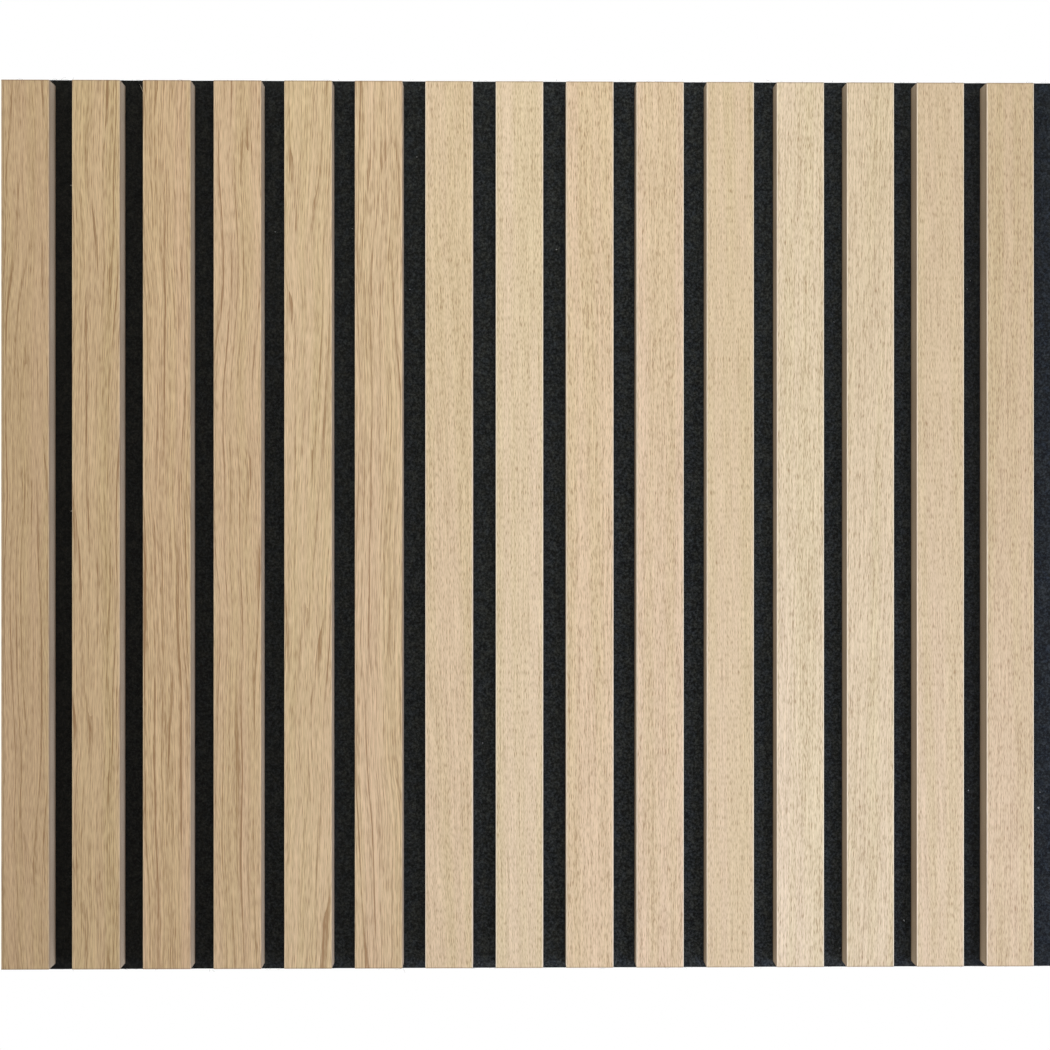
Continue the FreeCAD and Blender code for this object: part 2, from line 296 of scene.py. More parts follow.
def fuzz_material():
    """Single black polyester fibres, extruded and crimped: smoother than the felt, so that they
    show as thin lines a little paler than the ground, some bluish, some brownish."""
    material, tree, surface, place = new_material("loose black polyester fibre")
    shade = add_node(tree, "ShaderNodeTexNoise", inputs={"Vector": place, "Scale": 0.4, "Detail": 1.0})
    colour = add_node(tree, "ShaderNodeValToRGB", {"stops": [
        (0.3, linear("#131314")), (0.5, linear("#262626")), (0.7, linear("#3F4247"))]}, {0: shade})
    # The fibres get the same painted shade towards the board's side edges.
    tree.links.new(with_painted_shade_drift(tree, place, colour.outputs[0]), surface.inputs["Base Color"])
    rough = add_node(tree, "ShaderNodeMapRange", inputs={
        "Value": shade, "To Min": 0.55, "To Max": 0.8})
    tree.links.new(rough.outputs[0], surface.inputs["Roughness"])
    surface.inputs["Specular IOR Level"].default_value = 0.3
    return material


def fuzz_tree():
    """Arched, tapered fibres scattered over a board, on its slat side between the slats, or else
    on its wall side and edges."""
    tree, given = new_tree("felt fuzz", {
        "Board": "Object", "Per square metre": "Float", "Length": "Float", "Width": "Float",
        "Lift": "Float", "Left": "Float", "Pitch": "Float", "Slat width": "Float",
        "Slat side": "Bool", "Seed": "Int", "Material": "Material"})
    board = add_node(tree, "GeometryNodeObjectInfo", inputs={"Object": given.outputs["Board"]})
    facing = add_node(tree, "ShaderNodeSeparateXYZ", inputs={0: add_node(tree, "GeometryNodeInputNormal")})
    faces_slats = add_node(tree, "FunctionNodeCompare", {"operation": "LESS_THAN"}, {
        "A": facing.outputs["Y"], "B": slatward})
    right_side = add_node(tree, "FunctionNodeBooleanMath", {"operation": "XNOR"}, {
        0: faces_slats, 1: given.outputs["Slat side"]})
    roots = add_node(tree, "GeometryNodeDistributePointsOnFaces", inputs={
        "Mesh": board.outputs["Geometry"], "Selection": right_side,
        "Density": given.outputs["Per square metre"], "Seed": given.outputs["Seed"]})
    place = add_node(tree, "ShaderNodeSeparateXYZ", inputs={0: add_node(tree, "GeometryNodeInputPosition")})
    from_left = add_node(tree, "ShaderNodeMath", {"operation": "SUBTRACT"}, {
        0: place.outputs["X"], 1: given.outputs["Left"]})
    in_pitch = add_node(tree, "ShaderNodeMath", {"operation": "FLOORED_MODULO"}, {
        0: from_left, 1: given.outputs["Pitch"]})
    behind_slat = add_node(tree, "FunctionNodeCompare", {"operation": "LESS_THAN"}, {
        "A": in_pitch, "B": given.outputs["Slat width"]})
    pressed = add_node(tree, "FunctionNodeBooleanMath", {"operation": "AND"}, {
        0: behind_slat, 1: given.outputs["Slat side"]})
    free = add_node(tree, "GeometryNodeDeleteGeometry", {"domain": "POINT"}, {
        "Geometry": roots, "Selection": pressed})

    arch = add_node(tree, "GeometryNodeCurveQuadraticBezier", inputs={
        "Resolution": 3, "Start": (-0.5, 0.0, -0.02), "Middle": (0.05, 0.3, 0.2), "End": (0.5, 0.0, 0.03)})
    along = add_node(tree, "GeometryNodeSplineParameter")
    taper = add_node(tree, "ShaderNodeMapRange", inputs={
        "Value": along.outputs["Factor"], "To Min": 1.0, "To Max": 0.25})
    share = add_node(tree, "ShaderNodeMath", {"operation": "DIVIDE"}, {
        0: given.outputs["Width"], 1: given.outputs["Length"]})
    radius = add_node(tree, "ShaderNodeMath", {"operation": "MULTIPLY"}, {0: share, 1: 0.5})
    round_section = add_node(tree, "GeometryNodeCurvePrimitiveCircle", inputs={
        "Resolution": 3, "Radius": radius})
    fibre = add_node(tree, "GeometryNodeCurveToMesh", inputs={
        "Curve": arch, "Profile Curve": round_section, "Scale": taper, "Fill Caps": True})

    spin = add_node(tree, "FunctionNodeRandomValue", {"data_type": "FLOAT_VECTOR"}, {
        0: (-fuzz_tilt, -fuzz_tilt, 0.0), 1: (fuzz_tilt, fuzz_tilt, 2 * math.pi),
        "Seed": given.outputs["Seed"]})
    turned = add_node(tree, "FunctionNodeRotateRotation", {"rotation_space": "LOCAL"}, {
        0: roots.outputs["Rotation"], 1: spin})
    grown = add_node(tree, "FunctionNodeRandomValue", {"data_type": "FLOAT"}, {
        2: 0.45, 3: 1.25, "Seed": given.outputs["Seed"]})
    length = add_node(tree, "ShaderNodeMath", {"operation": "MULTIPLY"}, {
        0: grown.outputs[1], 1: given.outputs["Length"]})
    lift_share = add_node(tree, "ShaderNodeMath", {"operation": "MULTIPLY"}, {
        0: given.outputs["Lift"], 1: 1 / fuzz_arch})
    size = add_node(tree, "ShaderNodeCombineXYZ", inputs={0: length, 1: length, 2: lift_share})
    fibres = add_node(tree, "GeometryNodeInstanceOnPoints", inputs={
        "Points": free, "Instance": fibre, "Rotation": turned, "Scale": size})
    end_tree(tree, fibres, given.outputs["Material"])
    return tree


fibre_tree = fuzz_tree()
fibre_finish = fuzz_material()
for side, per_m2, seed in (("front", front_fuzz_per_m2, 11), ("back", back_fuzz_per_m2, 23)):
    fuzz = grow(f"felt_fuzz_{side}", fibre_tree, {
        "Board": felt_board, "Per square metre": per_m2, "Length": fuzz_length, "Width": fuzz_width,
        "Lift": fuzz_lift, "Left": felt_low.x, "Pitch": slat_pitch, "Slat width": slat_width,
        "Slat side": side == "front", "Seed": seed, "Material": fibre_finish})
    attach(fuzz, "root")

# Slat cores
# Strips of raw MDF, 27 mm wide and 11.5 mm thick, sawn from a board. Their sides stay bare, so
# the pressed wood fibre shows: no grain, a little denser and darker near the board's two faces.
core_back = -felt_thickness
core_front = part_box("slat_core_01")[0].y
# A chip on the fourteenth slat's side, painted only: a dark middle of painted shade and a pale rim of
# painted highlight.
chip_place = (218.75, -19.5, -204.0)  # in mm, on the left side of the fourteenth slat
chip_radius = 0.55
chip_raggedness = 0.9
chip_rim = 0.4  # where the chip's radius lies in its colour ramp
dense_from, dense_fully = 2.2, 5.6  # mm from the middle of the board's thickness


def mdf_material():
    """Raw MDF, hot-pressed from wood fibre and sawn: dull tan, grainless, with a fine speckle of
    fibre bundles, darker where the glue gathers towards the faces."""
    material, tree, surface, place = new_material("raw sawn MDF")
    speckle = add_node(tree, "ShaderNodeTexNoise", inputs={
        "Vector": place, "Scale": 1.6, "Detail": 3.0, "Roughness": 0.65})
    clouds = add_node(tree, "ShaderNodeTexNoise", inputs={"Vector": place, "Scale": 0.03, "Detail": 1.0})
    depth = add_node(tree, "ShaderNodeSeparateXYZ", inputs={0: place})
    from_middle = add_node(tree, "ShaderNodeMath", {"operation": "SUBTRACT"}, {
        0: depth.outputs["Y"], 1: (core_back + core_front) / 2 / mm})
    distance = add_node(tree, "ShaderNodeMath", {"operation": "ABSOLUTE"}, {0: from_middle})
    dense = add_node(tree, "ShaderNodeMapRange", {"interpolation_type": "SMOOTHSTEP"}, {
        "Value": distance, "From Min": dense_from, "From Max": dense_fully})
    mixed = add_node(tree, "ShaderNodeMix", inputs={"Factor": 0.35, 2: speckle, 3: clouds})
    colour = add_node(tree, "ShaderNodeValToRGB", {"stops": [
        (0.3, linear("#B8A388")), (0.5, linear("#CBB79B")), (0.7, linear("#DCC9AD"))]}, {0: mixed})
    pressed = add_node(tree, "ShaderNodeMix", {"data_type": "RGBA"}, {
        "Factor": dense, 6: colour, 7: linear("#B59C80")})
    # The chip has no hollow in the mesh. Its dark middle is painted shade of the pit, and its pale rim is a
    # painted highlight on the torn lip.
    to_chip = add_node(tree, "ShaderNodeVectorMath", {"operation": "DISTANCE"}, {
        0: place, 1: add_node(tree, "ShaderNodeVectorMath", {"operation": "MULTIPLY_ADD"}, {
            0: add_node(tree, "ShaderNodeTexNoise", inputs={
                "Vector": place, "Scale": 1.5, "Detail": 0.0}).outputs["Color"],
            1: (chip_raggedness,) * 3, 2: [value - chip_raggedness / 2 for value in chip_place]})})
    chip_shade_and_glint = add_node(tree, "ShaderNodeValToRGB", {"stops": [
        (0.28, (0.25, 0.22, 0.19, 1.0)), (chip_rim, (1.35, 1.35, 1.35, 1.0)),
        (0.55, (1.0, 1.0, 1.0, 1.0))]}, {
            0: add_node(tree, "ShaderNodeMath", {"operation": "MULTIPLY"}, {
                0: to_chip.outputs["Value"], 1: chip_rim / chip_radius})})
    with_chip_shade = add_node(tree, "ShaderNodeMix", {"data_type": "RGBA", "blend_type": "MULTIPLY"}, {
        "Factor": 1.0, 6: pressed.outputs[2], 7: chip_shade_and_glint})
    tree.links.new(with_chip_shade.outputs[2], surface.inputs["Base Color"])
    surface.inputs["Roughness"].default_value = 0.82
    return material


raw_mdf = mdf_material()
for number in range(1, slat_count + 1):
    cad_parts[f"slat_core_{number:02d}"].material_slots[0].material = raw_mdf

# Oak veneers
# A leaf of sliced oak, 0.5 mm thick, glued to the front of each core and sanded, with its long
# edges eased by a pass of fine paper. The first six slats come from crown-cut leaves, browner and
# streaked, and the rest from rift-cut leaves, paler and covered in short pores.
crown_cut_slats = 6
arris = 0.3 * mm
veneer_low, veneer_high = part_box("slat_veneer_01")
veneer_front = veneer_low.y
slat_length = veneer_high.z - veneer_low.z
veneer_thickness = core_front - veneer_front
veneer_rows = 42
veneer_waver = 0.06 * mm
waver_per_m = 35.0
# The grain's own sizes, in mm. A pair gives the size across the grain and along it.
log_taper = 0.045  # growth of the log's radius for each mm of height
arch_scatter = 1.4  # how far apart the leaves' arches may stand, in lengths of a slat
leaf_offset = 71.3  # between two leaves in the noises, so that no two are alike
wander_width, wander_length = 60.0, 110.0
band_size = (7.0, 260.0)
year_size = (2.2, 190.0)
ring_bend = 1.9  # in rings
early_wood = 0.27  # the dark share of a ring
# Width of the pale band along each long edge: rubbed wood with a painted highlight.
rub_and_highlight_width = 0.75
burn_from, burn_fully = 0.9, 0.2  # from the cut ends
vessel_place = felt_low.x / mm + 1.15
vessel_core, vessel_reach = 0.2, 0.75
furrow_size = (0.7, 9.0)
furrow_depth = 0.12 * mm


def veneer_tree():
    """A strip swept up a slat: a flat section with two eased corners at the front, whose edges
    waver by a few hundredths, as sanding leaves them."""
    tree, given = new_tree("veneer strip", {
        "Width": "Float", "Thickness": "Float", "Height": "Float", "Middle": "Float", "Front": "Float",
        "Arris": "Float", "Rows": "Int", "Waver": "Float", "Shade": "Color", "Seed": "Int",
        "Material": "Material"})
    foot, head = (add_node(tree, "ShaderNodeMath", {"operation": "MULTIPLY"}, {
        0: given.outputs["Height"], 1: share}) for share in (-0.5, 0.5))
    line = add_node(tree, "GeometryNodeCurvePrimitiveLine", inputs={
        "Start": add_node(tree, "ShaderNodeCombineXYZ", inputs={2: foot}),
        "End": add_node(tree, "ShaderNodeCombineXYZ", inputs={2: head})})
    path = add_node(tree, "GeometryNodeResampleCurve", inputs={
        "Curve": line, "Count": given.outputs["Rows"]})
    section = add_node(tree, "GeometryNodeCurvePrimitiveQuadrilateral", inputs={
        "Width": given.outputs["Width"], "Height": given.outputs["Thickness"]})
    corner = add_node(tree, "ShaderNodeSeparateXYZ", inputs={
        0: add_node(tree, "GeometryNodeInputPosition")})
    at_front = add_node(tree, "FunctionNodeCompare", {"operation": "LESS_THAN"}, {
        "A": corner.outputs["Y"], "B": 0.0})
    rounding = add_node(tree, "ShaderNodeMath", {"operation": "MULTIPLY"}, {
        0: at_front, 1: given.outputs["Arris"]})
    eased = add_node(tree, "GeometryNodeFilletCurve", {"mode": "POLY"}, {
        "Curve": section, "Count": 3, "Radius": rounding})
    strip = add_node(tree, "GeometryNodeCurveToMesh", inputs={
        "Curve": path, "Profile Curve": eased, "Fill Caps": True})
    place = add_node(tree, "GeometryNodeInputPosition")
    parts = add_node(tree, "ShaderNodeSeparateXYZ", inputs={0: place})
    side = add_node(tree, "ShaderNodeMath", {"operation": "SIGN"}, {0: parts.outputs["X"]})
    spot = add_node(tree, "ShaderNodeCombineXYZ", inputs={
        0: side, 1: given.outputs["Seed"], 2: parts.outputs["Z"]})
    waver = add_node(tree, "ShaderNodeTexNoise", inputs={
        "Vector": spot, "Scale": waver_per_m, "Detail": 1.0})
    inwards = add_node(tree, "ShaderNodeMath", {"operation": "MULTIPLY"}, {
        0: add_node(tree, "ShaderNodeMath", {"operation": "MULTIPLY"}, {
            0: waver, 1: given.outputs["Waver"]}),
        1: add_node(tree, "ShaderNodeMath", {"operation": "MULTIPLY"}, {0: side, 1: -1.0})})
    wavering = add_node(tree, "GeometryNodeSetPosition", inputs={
        "Geometry": strip, "Offset": add_node(tree, "ShaderNodeCombineXYZ", inputs={0: inwards})})
    centre_depth = add_node(tree, "ShaderNodeMath", {"operation": "MULTIPLY_ADD"}, {
        0: given.outputs["Thickness"], 1: 0.5, 2: given.outputs["Front"]})
    laid = add_node(tree, "GeometryNodeTransform", inputs={
        "Geometry": wavering, "Translation": add_node(tree, "ShaderNodeCombineXYZ", inputs={
            0: given.outputs["Middle"], 1: centre_depth})})
    shaded = add_node(tree, "GeometryNodeStoreNamedAttribute", {"data_type": "FLOAT_COLOR"}, {
        "Geometry": laid, "Name": "leaf shade", "Value": given.outputs["Shade"]})
    flat = add_node(tree, "GeometryNodeSetShadeSmooth", inputs={"Geometry": shaded, "Shade Smooth": False})
    end_tree(tree, flat, given.outputs["Material"])
    return tree


def oak_material(name, growth, growth_depth, heart, heart_spread, streak, streak_depth, fibre,
                 fibre_depth, smooth_from, fibre_middle, lean, drift, edge_rub_and_highlight):
    """Sliced and sanded oak veneer. Sizes are in mm, across the grain and along it. Growth rings
    give thin brown lines, vessels cut along their length give long streaks and short dashes, and
    the sanding leaves a dull face. Its edges are paler, rubbed by the sanding and with a painted
    highlight of the arris catching the light. Each leaf has its own shade."""
    material, tree, surface, place = new_material(name)
    parts = add_node(tree, "ShaderNodeSeparateXYZ", inputs={0: place})
    x, z = parts.outputs["X"], parts.outputs["Z"]
    slat = add_node(tree, "ShaderNodeMath", {"operation": "FLOOR"}, {
        0: add_node(tree, "ShaderNodeMath", {"operation": "MULTIPLY_ADD"}, {
            0: x, 1: mm / slat_pitch, 2: -felt_low.x / slat_pitch})})
    across = add_node(tree, "ShaderNodeMath", {"operation": "SUBTRACT"}, {
        0: add_node(tree, "ShaderNodeMath", {"operation": "SUBTRACT"}, {
            0: x, 1: first_slat_middle / mm}),
        1: add_node(tree, "ShaderNodeMath", {"operation": "MULTIPLY"}, {0: slat, 1: slat_pitch / mm})})
    leaf = add_node(tree, "ShaderNodeTexWhiteNoise", {"noise_dimensions": "1D"}, {"W": slat})
    luck = add_node(tree, "ShaderNodeSeparateColor", inputs={0: leaf.outputs["Color"]})
    shift = add_node(tree, "ShaderNodeMath", {"operation": "MULTIPLY"}, {0: slat, 1: leaf_offset})

    # The grain leans a little from leaf to leaf and wanders as it climbs.
    leaning = add_node(tree, "ShaderNodeMath", {"operation": "MULTIPLY"}, {
        0: add_node(tree, "ShaderNodeMath", {"operation": "MULTIPLY_ADD"}, {
            0: luck.outputs[0], 1: 2 * lean, 2: -lean}), 1: z})
    climb = add_node(tree, "ShaderNodeCombineXYZ", inputs={
        0: add_node(tree, "ShaderNodeMath", {"operation": "DIVIDE"}, {0: across, 1: wander_width}),
        1: shift,
        2: add_node(tree, "ShaderNodeMath", {"operation": "DIVIDE"}, {0: z, 1: wander_length})})
    wander = add_node(tree, "ShaderNodeTexNoise", inputs={"Vector": climb, "Scale": 1.0, "Detail": 1.0})
    drifted = add_node(tree, "ShaderNodeMath", {"operation": "MULTIPLY_ADD"}, {
        0: wander, 1: drift, 2: across})
    grain_x = add_node(tree, "ShaderNodeMath", {"operation": "ADD"}, {0: drifted, 1: leaning})
    grain = add_node(tree, "ShaderNodeCombineXYZ", inputs={0: grain_x, 1: shift, 2: z})

    def drawn(size, detail):
        """A noise drawn out along the grain."""
        stretched = add_node(tree, "ShaderNodeVectorMath", {"operation": "MULTIPLY"}, {
            0: grain, 1: (1 / size[0], 1.0, 1 / size[1])})
        return add_node(tree, "ShaderNodeTexNoise", inputs={
            "Vector": stretched, "Scale": 1.0, "Detail": detail})

    bands = drawn(band_size, 0.0)
    streaks = drawn(streak, 1.0)
    # Above this the wood between the dashes is smooth.
    fibres = add_node(tree, "ShaderNodeMath", {"operation": "MINIMUM"}, {
        0: drawn(fibre, 1.0), 1: smooth_from})

    # The log tapers, so a leaf cut near its heart shows the rings as long arches over the heart
    # line, and a leaf cut far from it shows them as near-straight lines.
    beside = add_node(tree, "ShaderNodeMath", {"operation": "SUBTRACT"}, {
        0: grain_x, 1: add_node(tree, "ShaderNodeMath", {"operation": "MULTIPLY_ADD"}, {
            0: luck.outputs[2], 1: heart_spread, 2: heart - heart_spread / 2})})
    scatter = slat_length / mm * arch_scatter * log_taper
    over = add_node(tree, "ShaderNodeMath", {"operation": "MULTIPLY_ADD"}, {
        0: z, 1: log_taper, 2: add_node(tree, "ShaderNodeMath", {"operation": "MULTIPLY_ADD"}, {
            0: leaf.outputs["Value"], 1: scatter, 2: -scatter / 2})})
    from_heart = add_node(tree, "ShaderNodeVectorMath", {"operation": "LENGTH"}, {
        0: add_node(tree, "ShaderNodeCombineXYZ", inputs={0: beside, 1: over})})

    # A ring starts with a hard line of wide vessels and fades into denser wood. Rings lie closer
    # and wider apart by turns, so their count is bent by the bands.
    years = drawn(year_size, 0.0)
    spacing = add_node(tree, "ShaderNodeMath", {"operation": "MULTIPLY_ADD"}, {
        0: luck.outputs[1], 1: 0.7 * growth, 2: 0.8 * growth})
    ring = add_node(tree, "ShaderNodeMath", {"operation": "FRACT"}, {
        0: add_node(tree, "ShaderNodeMath", {"operation": "MULTIPLY_ADD"}, {
            0: bands, 1: ring_bend, 2: add_node(tree, "ShaderNodeMath", {"operation": "DIVIDE"}, {
                0: from_heart.outputs["Value"], 1: spacing})})})
    ring_line = add_node(tree, "ShaderNodeMapRange", {"interpolation_type": "SMOOTHSTEP"}, {
        "Value": ring, "From Min": 0.0, "From Max": early_wood, "To Min": growth_depth,
        "To Max": 0.0})
    broken = add_node(tree, "ShaderNodeMapRange", inputs={
        "Value": streaks, "From Min": 0.35, "From Max": 0.65, "To Min": 1.1, "To Max": 0.5})
    strong = add_node(tree, "ShaderNodeMapRange", inputs={
        "Value": years, "From Min": 0.35, "From Max": 0.65, "To Min": 0.2, "To Max": 1.3})
    # The knife cuts a ring slantwise at an arch's tip, so the line is wide and faint there.
    upright = add_node(tree, "ShaderNodeMath", {"operation": "DIVIDE"}, {
        0: add_node(tree, "ShaderNodeMath", {"operation": "ABSOLUTE"}, {0: beside}),
        1: from_heart.outputs["Value"]})
    crisp = add_node(tree, "ShaderNodeMapRange", inputs={
        "Value": upright, "From Min": 0.0, "From Max": 0.8, "To Min": 0.15, "To Max": 1.0})
    uneven = add_node(tree, "ShaderNodeMath", {"operation": "MULTIPLY"}, {
        0: crisp, 1: add_node(tree, "ShaderNodeMath", {"operation": "MULTIPLY"}, {0: broken, 1: strong})})
    tone = add_node(tree, "ShaderNodeMath", {"operation": "MULTIPLY_ADD"}, {
        0: add_node(tree, "ShaderNodeMath", {"operation": "MULTIPLY"}, {0: ring_line, 1: uneven}),
        1: -1.0, 2: 0.5 + growth_depth * 0.09})
    for layer, middle, depth in ((bands, 0.5, 0.25), (streaks, 0.5, streak_depth),
                                 (fibres, fibre_middle, fibre_depth)):
        tone = add_node(tree, "ShaderNodeMath", {"operation": "MULTIPLY_ADD"}, {
            0: add_node(tree, "ShaderNodeMath", {"operation": "SUBTRACT"}, {0: layer, 1: middle}),
            1: depth, 2: tone})
    grain_colour = add_node(tree, "ShaderNodeValToRGB", {"stops": [
        (0.0, (0.59, 0.48, 0.38, 1.0)), (0.5, (1.0, 1.0, 1.0, 1.0)), (1.0, (1.27, 1.3, 1.33, 1.0))]},
        {0: tone})
    warm = add_node(tree, "ShaderNodeValToRGB", {"stops": [
        (0.35, linear("#FFFCF7")), (0.65, linear("#FFF9FB"))]}, {0: bands})
    shade = add_node(tree, "ShaderNodeAttribute", {"attribute_name": "leaf shade"})
    grained = add_node(tree, "ShaderNodeMix", {"data_type": "RGBA", "blend_type": "MULTIPLY"}, {
        "Factor": 1.0, 6: shade.outputs["Color"], 7: grain_colour})
    tinted = add_node(tree, "ShaderNodeMix", {"data_type": "RGBA", "blend_type": "MULTIPLY"}, {
        "Factor": 1.0, 6: grained.outputs[2], 7: warm})

    # The eased edges are paler, rubbed by the sanding and with a painted highlight of the arris
    # catching the light. The saw leaves the two cut ends a little burnt, and a dark vessel runs up
    # the first slat just inside its left edge.
    from_middle = add_node(tree, "ShaderNodeMath", {"operation": "ABSOLUTE"}, {0: across})
    half_width = slat_width / mm / 2
    # Painted highlight: a pale band along each long edge, partly rubbed wood and partly the light caught by
    # the arris.
    rubbed_and_lit = add_node(tree, "ShaderNodeMapRange", {"interpolation_type": "SMOOTHSTEP"}, {
        "Value": from_middle, "From Min": half_width - rub_and_highlight_width, "From Max": half_width - arris / mm,
        "To Max": edge_rub_and_highlight})
    edged = add_node(tree, "ShaderNodeMix", {"data_type": "RGBA"}, {
        "Factor": rubbed_and_lit, 6: tinted.outputs[2], 7: linear("#F3E6D0")})
    height = add_node(tree, "ShaderNodeMath", {"operation": "ABSOLUTE"}, {0: z})
    half_length = slat_length / mm / 2
    burnt = add_node(tree, "ShaderNodeMapRange", {"interpolation_type": "SMOOTHSTEP"}, {
        "Value": height, "From Min": half_length - burn_from, "From Max": half_length - burn_fully,
        "To Max": 0.5})
    ended = add_node(tree, "ShaderNodeMix", {"data_type": "RGBA"}, {
        "Factor": burnt, 6: edged.outputs[2], 7: linear("#6F5A42")})
    from_vessel = add_node(tree, "ShaderNodeMath", {"operation": "ABSOLUTE"}, {
        0: add_node(tree, "ShaderNodeMath", {"operation": "SUBTRACT"}, {0: x, 1: vessel_place})})
    vessel = add_node(tree, "ShaderNodeMapRange", {"interpolation_type": "SMOOTHSTEP"}, {
        "Value": from_vessel, "From Min": vessel_core, "From Max": vessel_reach, "To Min": 0.45,
        "To Max": 0.0})
    lined = add_node(tree, "ShaderNodeMix", {"data_type": "RGBA"}, {
        "Factor": vessel, 6: ended.outputs[2], 7: linear("#7D6240")})
    tree.links.new(lined.outputs[2], surface.inputs["Base Color"])
    rough = add_node(tree, "ShaderNodeMapRange", inputs={
        "Value": tone, "From Min": 0.2, "From Max": 0.8, "To Min": 0.74, "To Max": 0.56})
    tree.links.new(rough.outputs[0], surface.inputs["Roughness"])
    furrows = add_node(tree, "ShaderNodeTexNoise", inputs={
        "Vector": add_node(tree, "ShaderNodeVectorMath", {"operation": "MULTIPLY"}, {
            0: place, 1: (1 / furrow_size[0], 1.0, 1 / furrow_size[1])}), "Scale": 1.0, "Detail": 0.0})
    bump = add_node(tree, "ShaderNodeBump", inputs={
        "Height": furrows, "Strength": 0.35, "Distance": furrow_depth})
    tree.links.new(bump.outputs[0], surface.inputs["Normal"])
    return material


crown_cut_oak = oak_material(
    "crown-cut oak veneer, sanded", growth=3.5, growth_depth=0.85, heart=4.5, heart_spread=50.0,
    streak=(0.38, 55.0), streak_depth=1.6, fibre=(0.29, 6.4), fibre_depth=1.75, smooth_from=1.0,
    fibre_middle=0.5, lean=0.022, drift=9.0, edge_rub_and_highlight=0.12)
rift_cut_oak = oak_material(
    "rift-cut oak veneer, sanded", growth=2.9, growth_depth=0.13, heart=-70.0, heart_spread=20.0,
    streak=(0.5, 36.0), streak_depth=0.95, fibre=(0.27, 3.3), fibre_depth=2.5, smooth_from=0.54,
    fibre_middle=0.467, lean=0.035, drift=3.0, edge_rub_and_highlight=0.6)
leaf_shades = [
    "#B69C75", "#BAA178", "#BEA37C", "#C0A67F", "#C4AC84", "#C4AB85", "#CDB792", "#D1BD99", "#CEB792",
    "#CDB693", "#CBB691", "#CFBD9B", "#C9B793", "#C5B08C", "#BFA984"]
strip_tree = veneer_tree()
for number, leaf_shade in enumerate(leaf_shades, 1):
    veneer = grow(f"oak_veneer_{number:02d}", strip_tree, {
        "Width": slat_width, "Thickness": veneer_thickness, "Height": slat_length,
        "Middle": first_slat_middle + slat_pitch * (number - 1), "Front": veneer_front,
        "Arris": arris, "Rows": veneer_rows, "Waver": veneer_waver, "Shade": linear(leaf_shade),
        "Seed": number, "Material": crown_cut_oak if number <= crown_cut_slats else rift_cut_oak})
    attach(veneer, "root")
    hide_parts(f"slat_veneer_{number:02d}")

# Staples
# Galvanised flat wire, bent to a crown and two legs, shot through the felt into each slat from
# the wall side, three to a slat. No two sit quite straight.
staple_crown = 5.8 * mm
staple_length = 16 * mm
wire_width = 1.25 * mm
wire_depth = 1.05 * mm
wire_bend = 0.9 * mm
wire_edge = 0.16  # the wire's edge radius, as a share of its depth
staple_turn = math.radians(1.2)


def staple_material():
    """Zinc-coated steel wire, drawn and rolled flat: grey, dull, cloudy where the zinc is thin."""
    material, tree, surface, place = new_material("galvanised staple wire")
    cloud = add_node(tree, "ShaderNodeTexNoise", inputs={"Vector": place, "Scale": 1.4, "Detail": 2.0})
    colour = add_node(tree, "ShaderNodeValToRGB", {"stops": [
        (0.35, linear("#A2A5A7")), (0.65, linear("#CBCDCE"))]}, {0: cloud})
    tree.links.new(colour.outputs[0], surface.inputs["Base Color"])
    rough = add_node(tree, "ShaderNodeMapRange", inputs={
        "Value": cloud, "From Min": 0.3, "From Max": 0.7, "To Min": 0.5, "To Max": 0.3})
    tree.links.new(rough.outputs[0], surface.inputs["Roughness"])
    surface.inputs["Metallic"].default_value = 1.0
    return material


